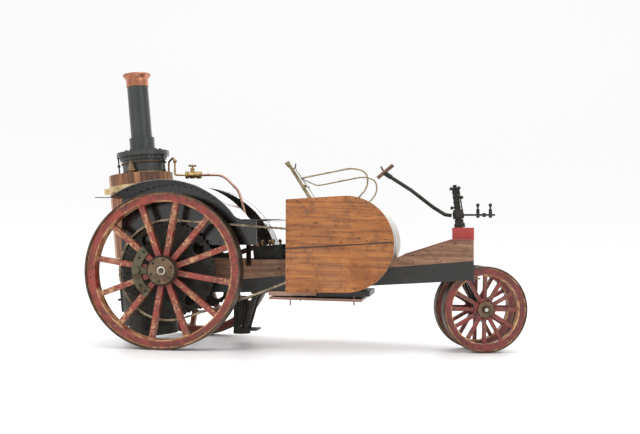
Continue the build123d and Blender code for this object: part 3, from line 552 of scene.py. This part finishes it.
def rod(name, points, radius, material, body, slot):
    """A bent round bar through points; its radius is in millimetres."""
    curve = bpy.data.curves.new(name, "CURVE")
    curve.dimensions = "3D"
    curve.bevel_depth = radius * MM
    curve.bevel_resolution = 4
    curve.use_fill_caps = True
    line = curve.splines.new("POLY")
    line.points.add(len(points) - 1)
    for point, place in zip(line.points, points):
        point.co = (*place, 1.0)
    holder = bpy.data.objects.new(name + "_curve", curve)
    bpy.context.scene.collection.objects.link(holder)
    mesh = final_mesh(holder)
    bpy.data.objects.remove(holder)
    return new_object(name, mesh, material, body)


def plate(outline, thickness):
    """A flat plate: an outline in X and Z, thick along Y about its middle."""
    build = bmesh.new()
    near = [build.verts.new((x * MM, -thickness / 2 * MM, z * MM)) for x, z in outline]
    far = [build.verts.new((x * MM, thickness / 2 * MM, z * MM)) for x, z in outline]
    build.faces.new(near)
    build.faces.new(list(reversed(far)))
    for i in range(len(outline)):
        j = (i + 1) % len(outline)
        build.faces.new((near[j], near[i], far[i], far[j]))
    bmesh.ops.recalc_face_normals(build, faces=build.faces)
    mesh = bpy.data.meshes.new("plate")
    build.to_mesh(mesh)
    build.free()
    return mesh


def merged(meshes, shifts):
    """One mesh from several, each turned or moved by a matrix."""
    build = bmesh.new()
    for mesh, shift in zip(meshes, shifts):
        part = mesh.copy()
        part.transform(shift)
        build.from_mesh(part)
    mesh = bpy.data.meshes.new("merged")
    build.to_mesh(mesh)
    build.free()
    return mesh


# ---- chains ----------------------------------------------------------------------------------
CHAIN_Y = 69.2                 # the chains' middle plane
BIG_R, SMALL_R = 61.7, 13.0    # pin circles of the sprockets
SAG, CHAIN_PITCH = 5.0, 6.8    # the lower run hangs; the pitch is rounded to close the loop


def chain_path():
    """Pins an even pitch apart, round both sprockets and along the two runs, and that pitch."""
    reach = CRANK - AXLE
    apart = hypot(reach.x, reach.z) / MM
    lean = atan2(reach.z, reach.x)
    open_angle = acos((BIG_R - SMALL_R) / apart)
    top, low = lean + open_angle, lean - open_angle

    def on(centre, radius, angle):
        return (centre.x / MM + radius * cos(angle), centre.z / MM + radius * sin(angle))

    line = [on(CRANK, SMALL_R, top + (low - top) * i / 24) for i in range(25)]
    start, end = on(CRANK, SMALL_R, low), on(AXLE, BIG_R, low)
    for i in range(1, 40):
        share = i / 40
        sag = 4 * SAG * share * (1 - share)
        line.append((start[0] + (end[0] - start[0]) * share,
                     start[1] + (end[1] - start[1]) * share - sag))
    line += [on(AXLE, BIG_R, low - (2 * pi - 2 * open_angle) * i / 90) for i in range(91)]
    line.append(on(CRANK, SMALL_R, top))
    steps = [hypot(b[0] - a[0], b[1] - a[1]) for a, b in zip(line, line[1:])]
    count = 2 * round(sum(steps) / CHAIN_PITCH / 2)
    gap = sum(steps) / count
    made, travelled, index = [], 0.0, 0
    for number in range(count):
        goal = number * gap
        while travelled + steps[index] < goal:
            travelled += steps[index]
            index += 1
        share = (goal - travelled) / steps[index]
        a, b = line[index], line[index + 1]
        made.append((a[0] + (b[0] - a[0]) * share, a[1] + (b[1] - a[1]) * share))
    return made, gap


def link_plate(length):
    """A waisted side plate with round ends, from one pin to the next along X."""
    turns = [radians(30 * i) for i in range(7)]
    ahead = [(length + 1.5 * sin(a), 1.5 * cos(a)) for a in turns]
    behind = [(-1.5 * sin(a), -1.5 * cos(a)) for a in turns]
    return plate([(length / 2, 1.0)] + ahead + [(length / 2, -1.0)] + behind, 0.45)


def chain_link(gap, apart):
    """Two plates on a roller; the plates' middles are apart millimetres from the roller's."""
    roller = turned([(0.9, -1.7), (0.9, -1.0), (1.45, -0.9), (1.45, 0.9), (0.9, 1.0), (0.9, 1.7)],
                    10)
    shifts = [Matrix.Translation((0, y * MM, 0)) for y in (-apart, apart)]
    return merged([link_plate(gap), link_plate(gap), roller],
                  shifts + [Matrix.Rotation(pi / 2, 4, "X")])


def chains():
    pins, gap = chain_path()
    for side, sign in SIDES:
        for kind, apart, first in (("inner", 0.95, 0), ("outer", 1.45, 1)):
            places = []
            for number in range(first, len(pins), 2):
                a, b = pins[number], pins[(number + 1) % len(pins)]
                turn = (0, -atan2(b[1] - a[1], b[0] - a[0]), 0)
                places.append((Vector((a[0], sign * CHAIN_Y, a[1])) * MM, turn))
            links = scatter(f"{side}_chain_{kind}_links", chain_link(gap, apart), places, "chain",
                            "chassis", "steel")
            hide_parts("drive_chains")


# ---- wheels ----------------------------------------------------------------------------------
def wheels():
    axle = "driving_axle"
    for side, sign in SIDES:
        out = (0, sign, 0)
        bolts = [drive_spot(13.2, radians(20 + 60 * i), sign * HUB_FACE) for i in range(6)]
        fasten(side + "_hub_bolts", hex_bolt(1.5, 1.1), bolts, out, "dark_iron", axle, "steel")
        washer = turned([(5.2, 0), (5.2, 0.5), (4.4, 0.8), (2.8, 0.8), (2.8, 0.2)], 28)
        fasten(side + "_hub_washer", washer, [drive_spot(0, 0, sign * 100.5)], out, "bright",
               axle, "steel")
        band = turned([(18.6, 0), (18.6, 0.6), (17.4, 1.2), (15.0, 1.2), (15.0, 0)], 48)
        fasten(side + "_hub_band", band, [drive_spot(0, 0, sign * 97.5)], out, "nail", axle,
               "dark_iron")
        studs = [drive_spot(88.4, radians(5 + 60 * i + shift), sign * 94.9)
                 for i in range(6) for shift in (-1.6, 1.6)]
        fasten(side + "_rim_bolts", round_head(1.1, 0.7), studs, out, "worn_brown", axle,
               "wheel_red")
        dogs = [drive_spot(32.5, radians(a), sign * 94.4) for a in (137, 153, 215, 231)]
        fasten(side + "_dog_bolts", hex_bolt(1.6, 1.2), dogs, out, "nail", axle, "dark_iron")
        rivets = [drive_spot(radius, radians(360 * i / count + 6), sign * 70.4)
                  for radius, count in ((24, 12), (52.5, 24)) for i in range(count)]
        fasten(side + "_sprocket_rivets", round_head(1.3, 0.9), rivets, out, "nail", axle,
               "dark_iron")
        body, out = side + "_front", FRONT_AXIS * sign
        bolts = [front_spot(11.6, radians(15 + 60 * i), sign * 26.9) for i in range(6)]
        fasten(side + "_front_hub_bolts", hex_bolt(1.2, 1.0), bolts, out, "nail", body, "steel")
        cover = turned([(10.4, 0), (10.4, 0.4), (9.4, 0.9), (3.6, 0.9), (3.4, 0.2)], 36)
        fasten(side + "_front_hub_cover", cover, [front_spot(0, 0, sign * 29.3)], out,
               "worn_brown", body, "steel")
        fasten(side + "_front_axle_nut", hex_bolt(2.7, 1.4), [front_spot(0, 0, sign * 31.6)], out,
               "bright", "steering", "steel")


# ---- boards, fenders -------------------------------------------------------------------------
BOARD_NAILS = ((282, 107.5), (300, 113), (318, 118), (336, 124), (352, 128.5), (370, 128.5),
               (371, 112), (371, 99), (300, 104), (335, 106), (-55, 100), (-30, 104), (30, 104),
               (60, 88), (110, 104), (130, 90))
BONNET_EDGE = ((289, 113.7), (305, 118.5), (347, 131.8), (374, 131.9))


def case_edge(inset, step):
    """Places along the casing side's outline, inset from its edge."""
    radius = CASE_R - inset
    x, z, rear = CASE_X, CASE_Z, CASE_REAR + inset
    rear_top = z + radius - 4.1
    corners = [(x, z - radius), (rear, z - radius), (rear, rear_top), (x, z + radius)]
    line = []
    for a, b in zip(corners, corners[1:]):
        count = max(2, round(hypot(b[0] - a[0], b[1] - a[1]) / step))
        line += [(a[0] + (b[0] - a[0]) * i / count, a[1] + (b[1] - a[1]) * i / count)
                 for i in range(count)]
    count = round(pi * radius / step)
    turns = [pi * i / count for i in range(count)]
    return line + [(x + radius * sin(a), z + radius * cos(a)) for a in turns]


def wheel_arc(radius, angles, y):
    """Places round the driving axle at angles in degrees, carried by the frame."""
    return [spot(radius * cos(a), y, DRIVE_R + radius * sin(a)) for a in map(radians, angles)]


def boards_and_fenders():
    for side, sign in SIDES:
        near, out = side == "near", (0, sign, 0)
        pins = [spot(x, sign * CASE_FACE, z) for x, z in case_edge(2.4, 12.5)]
        pins += [spot(x, sign * CASE_FACE, 121.4 + (x - 120) * 0.0567 + shift)
                 for x in (153, 180, 214, 246, 268) for shift in (-4.5, 2.8)]
        fasten(side + "_casing_pins", round_head(0.75, 0.35), pins, out, "nail", "chassis",
               "dark_iron")
        fasten(side + "_plug_screw", round_head(2.0, 0.5), [spot(173, sign * 80.8, 165)], out,
               "worn_brown", "chassis", "dark_iron")
        nails = [spot(x, sign * BOARD_FACE, z) for x, z in BOARD_NAILS]
        fasten(side + "_board_nails", round_head(0.9, 0.4), nails, out, "nail", "chassis",
               "dark_iron")
        rivets = wheel_arc(104.5, [58 + 4.4 * i for i in range(15)], sign * SPLASHER_FACE)
        rivets += [spot(x, sign * SPLASHER_FACE, 130) for x in range(-26, 106, 11)]
        fasten(side + "_splasher_rivets", round_head(0.95, 0.6), rivets, out, "nail", "chassis",
               "black_paint")
        heads = []
        for angle in range(42 if near else 20, 126, 12):
            lean = radians(angle) + PITCH
            for y in (66.5, 94.0):
                place = wheel_arc(FENDER_R - 0.1, [angle], sign * y)[0]
                heads.append((place, facing((cos(lean), 0, sin(lean)))))
        scatter(side + "_fender_rivets", round_head(0.9, 0.5), heads, "nail", "chassis",
                "black_paint")
        bead = wheel_arc(FENDER_R - 0.5, range(38 if near else 17, 127, 3), sign * 97.3)
        rod(side + "_fender_bead", bead, 0.9, "black_paint", "chassis", "black_paint")
        edge = [spot(x, sign * 48.2, z + 0.2) for x, z in BONNET_EDGE]
        rod(side + "_bonnet_edge", edge, 0.8, "front_red", "chassis", "red_block")


# ---- boiler, smokebox, steam line ------------------------------------------------------------
def ring_places(radius, z, count, out=1, start=0.0, ahead=0.0):
    """Rivet places round the boiler's axis, or ahead of it; heads point up if out is 0."""
    made = []
    side = Vector((BOILER_AXIS.z, 0, -BOILER_AXIS.x))
    for i in range(count):
        a = 2 * pi * i / count + start
        way = side * cos(a) + Vector((0, sin(a), 0))
        made.append((boiler_spot(ahead, 0, z) + way * radius * MM,
                     facing(way * out + BOILER_AXIS * (1 - out))))
    return made


def stack_ring(radius, z, count, out=1):
    """Rivet places round the smokebox and chimney, at a height above the lagging."""
    return ring_places(radius, BOILER_TOP + z, count, out, ahead=STACK_X)


def boiler_parts():
    top = BOILER_TOP
    green = "stack_green", "chassis", "stack_green"
    brass = "brass", "chassis", "brass"
    iron = "nail", "chassis", "dark_iron"
    rivets = stack_ring(26.9, 3, 26) + stack_ring(29.4, 20.5, 28)
    scatter("smokebox_rivets", round_head(1.1, 0.8), rivets, *green)
    scatter("chimney_bolts", hex_bolt(1.3, 1.1), stack_ring(17.4, 32, 8, 0), *green)
    scatter("collar_rivets", round_head(0.8, 0.5), stack_ring(15.9, 46, 14), *green)
    rivets = ring_places(36.1, 30, 30) + ring_places(36.1, 101, 30)
    rivets += ring_places(36.1, 79, 30, start=0.1)
    scatter("firebox_rivets", round_head(1.1, 0.7), rivets, "dark_iron", "chassis", "dark_iron")
    scatter("smokebox_foot", round_head(1.7, 0.8), stack_ring(27.0, 0.4, 60), *brass)
    belt = [place for place, _ in stack_ring(28.2, 14.5, 49)]
    rod("smokebox_belt", belt, 1.0, "worn_brown", "chassis", "dark_iron")
    for name, x, high in (("rear", -25.5, 24), ("front", 34.5, 27)):
        stay = [boiler_spot(x, -9, top + z) for z in (1, high)]
        rod(name + "_smokebox_stay", stay, 0.9, *iron)
        nuts = [boiler_spot(x, -9, top + z) for z in (2, (1 + high) / 2, high)]
        nut = turned([(0.6, -1.8), (1.9, -1.0), (2.1, 0.4), (1.4, 1.5), (0.6, 1.9)], 10)
        fasten(name + "_stay_nuts", nut, nuts, BOILER_AXIS, *iron)
    bends = ((34.5, -9, 26), (30, -6, 27), (22, -3, 27.6))
    bridge = [boiler_spot(x, y, top + z) for x, y, z in bends]
    rod("stay_bridge", bridge, 0.9, *iron)
    flange = turned([(2.6, -1.6), (4.9, -1.5), (5.0, -0.2), (5.0, 1.4), (2.4, 1.6)], 24)
    fasten("valve_flanges", flange, [spot(x, 0, 217.5) for x in (2, 16.5)], (1, 0, 0.02), *brass)
    cap = turned([(2.2, 0), (3.0, 0.3), (3.0, 2.2), (1.4, 2.8)], 6)
    fasten("valve_gland", cap, [spot(9, 0, 223.6)], (0, 0, 1), *brass)
    seat = turned([(3.2, 0), (5.9, 0.2), (6.1, 1.2), (4.4, 1.8)], 24)
    fasten("safety_valve_seat_ring", seat, [boiler_spot(-1, -33, top + 2.6)], BOILER_AXIS, *brass)


# ---- seat rail -------------------------------------------------------------------------------
def rounded(points, radius, steps=8):
    """A path with its corners turned into arcs."""
    made = [points[0]]
    for before, corner, after in zip(points, points[1:], points[2:]):
        back, ahead = (before - corner), (after - corner)
        reach = min(radius, back.length * 0.48, ahead.length * 0.48)
        start, end = corner + back.normalized() * reach, corner + ahead.normalized() * reach
        for i in range(steps + 1):
            t = i / steps
            made.append(start * (1 - t) ** 2 + corner * (2 * t * (1 - t)) + end * t ** 2)
    return made + [points[-1]]


def seat_rail():
    side = [(234.5, 182.4), (246.8, 197), (245.5, 214.5), (228, 219.6), (164, 207.2)]
    near = [spot(x, -74, z) for x, z in side]
    far = [spot(x, 74, z) for x, z in reversed(side)]
    rail = rod("seat_rail_tube", rounded(near + far, 13 * MM), 1.05, "olive_steel", "chassis",
               "olive_steel")
    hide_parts("seat_rail")


# ---- levers, steering ------------------------------------------------------------------------
def hand_gear():
    steering = "nail", "steering", "dark_iron"
    grip = [spot(x, -60, z) for x, z in ((148.9, 223.2), (147.2, 226.0), (146.2, 229.0))]
    rod("lever_grip", grip, 1.9, "worn_brown", "lever", "steel")
    trigger = [spot(x, -60, z) for x, z in ((152.5, 219.5), (155.6, 222.0), (155.8, 226.5))]
    rod("lever_trigger", trigger, 0.8, "nail", "lever", "steel")
    latch = [spot(x, -58.6, z) for x, z in ((155.2, 220.4), (176.5, 189), (192.6, 158))]
    rod("lever_latch_rod", latch, 0.7, "bright", "lever", "steel")
    collar = turned([(7.2, 0), (6.6, 0.8), (4.9, 1.3)], 30)
    fasten("tiller_hub_collar", collar, [column_spot(0, 0, -12.3)], COLUMN_AXIS, *steering)
    nuts = [column_spot(x, y, 19.6) for x in (4.9, -4.9) for y in (-2.6, 2.6)]
    fasten("tower_nuts", hex_bolt(1.2, 1.0), nuts, COLUMN_AXIS, *steering)
    rings = [column_spot(0, 0, z) for z in (-6, 0.5, 7, 13)]
    ring = turned([(4.0, -0.6), (4.9, -0.4), (4.9, 0.4), (4.0, 0.6)], 24)
    fasten("tower_rings", ring, rings, COLUMN_AXIS, *steering)
    nuts = [spot(x, 0, 177.8) for x in (382, 398)]
    fasten("bracket_nuts", hex_bolt(1.7, 0.9), nuts, (0, 0, 1), *steering)
    bolts = [column_spot(6.1 * cos(a), 6.1 * sin(a), -27.6)
             for a in map(radians, range(0, 360, 60))]
    fasten("column_bearing_bolts", hex_bolt(0.9, 0.7), bolts, COLUMN_AXIS, "brass", "chassis",
           "brass")


# ---- camera, floor, light --------------------------------------------------------------------
def studio():
    origin = AXLE.x
    camera = bpy.data.objects.new("camera", bpy.data.cameras.new("camera"))
    bpy.context.scene.collection.objects.link(camera)
    camera.data.lens = 50
    camera.data.sensor_width = 36
    camera.data.shift_x = -0.10
    camera.location = (origin + 0.3361, -1.1467, 0.1392)
    yaw, pitch, roll = radians(3.82), radians(1.43), radians(1.33)
    aim = Euler((pi / 2 + pitch, 0, yaw), "XYZ").to_matrix() @ Matrix.Rotation(roll, 3, "Z")
    camera.rotation_euler = aim.to_euler()
    camera.data.clip_start = 0.01
    bpy.context.scene.camera = camera

    shade = Shade("floor")
    x, y, _ = shade.parts(shade.place)
    away = (x * x + y * y).join("SQRT").between(0.45, 1.5)
    white = (0.94, 0.94, 0.945)
    shade.finish(Base_Color=shade.mix(away, (0.9, 0.9, 0.9), (0, 0, 0)), Roughness=0.4,
                 Emission_Color=shade.mix(away, (0, 0, 0), white), Emission_Strength=1.0,
                 Specular_IOR_Level=0.3)
    # A flat floor that bends up into a backdrop, as places in Y and Z.
    profile = [(-9.0, 0.0), (1.6, 0.0)]
    profile += [(1.6 + 0.9 * sin(a), 0.9 - 0.9 * cos(a)) for a in map(radians, range(10, 100, 10))]
    profile += [(2.5, 4.0)]
    build = bmesh.new()
    rows = [[build.verts.new((x, y, z - 0.0002)) for x in (-12.0, 12.0)] for y, z in profile]
    for lower, upper in zip(rows, rows[1:]):
        build.faces.new((lower[0], lower[1], upper[1], upper[0]))
    mesh = bpy.data.meshes.new("floor")
    build.to_mesh(mesh)
    build.free()
    for polygon in mesh.polygons:
        polygon.use_smooth = True
    mesh.materials.append(shade.material)
    floor = bpy.data.objects.new("floor", mesh)
    bpy.context.scene.collection.objects.link(floor)

    world = bpy.data.worlds.new("studio")
    world.use_nodes = True
    sky = world.node_tree.nodes["Background"]
    sky.inputs["Color"].default_value = (1, 1, 1, 1)
    sky.inputs["Strength"].default_value = 0.9
    bpy.context.scene.world = world
    lights = (("top", (0.1, 0.1, 1.7), 1.6, 15), ("key", (-1.1, -1.3, 1.3), 0.8, 13),
              ("fill", (1.5, -1.2, 0.9), 1.2, 5), ("back", (0.0, 1.4, 1.3), 2.0, 12))
    for name, place, size, power in lights:
        light = bpy.data.lights.new(name, "AREA")
        light.size = size
        light.energy = power
        lamp = bpy.data.objects.new(name, light)
        lamp.location = place
        aim = Vector((0, 0, 0.12)) - Vector(place)
        lamp.rotation_euler = aim.to_track_quat("-Z", "Y").to_euler()
        bpy.context.scene.collection.objects.link(lamp)
    bpy.context.scene.view_settings.view_transform = "Standard"


dress_nodes()
chains()
wheels()
boards_and_fenders()
boiler_parts()
seat_rail()
hand_gear()
studio()
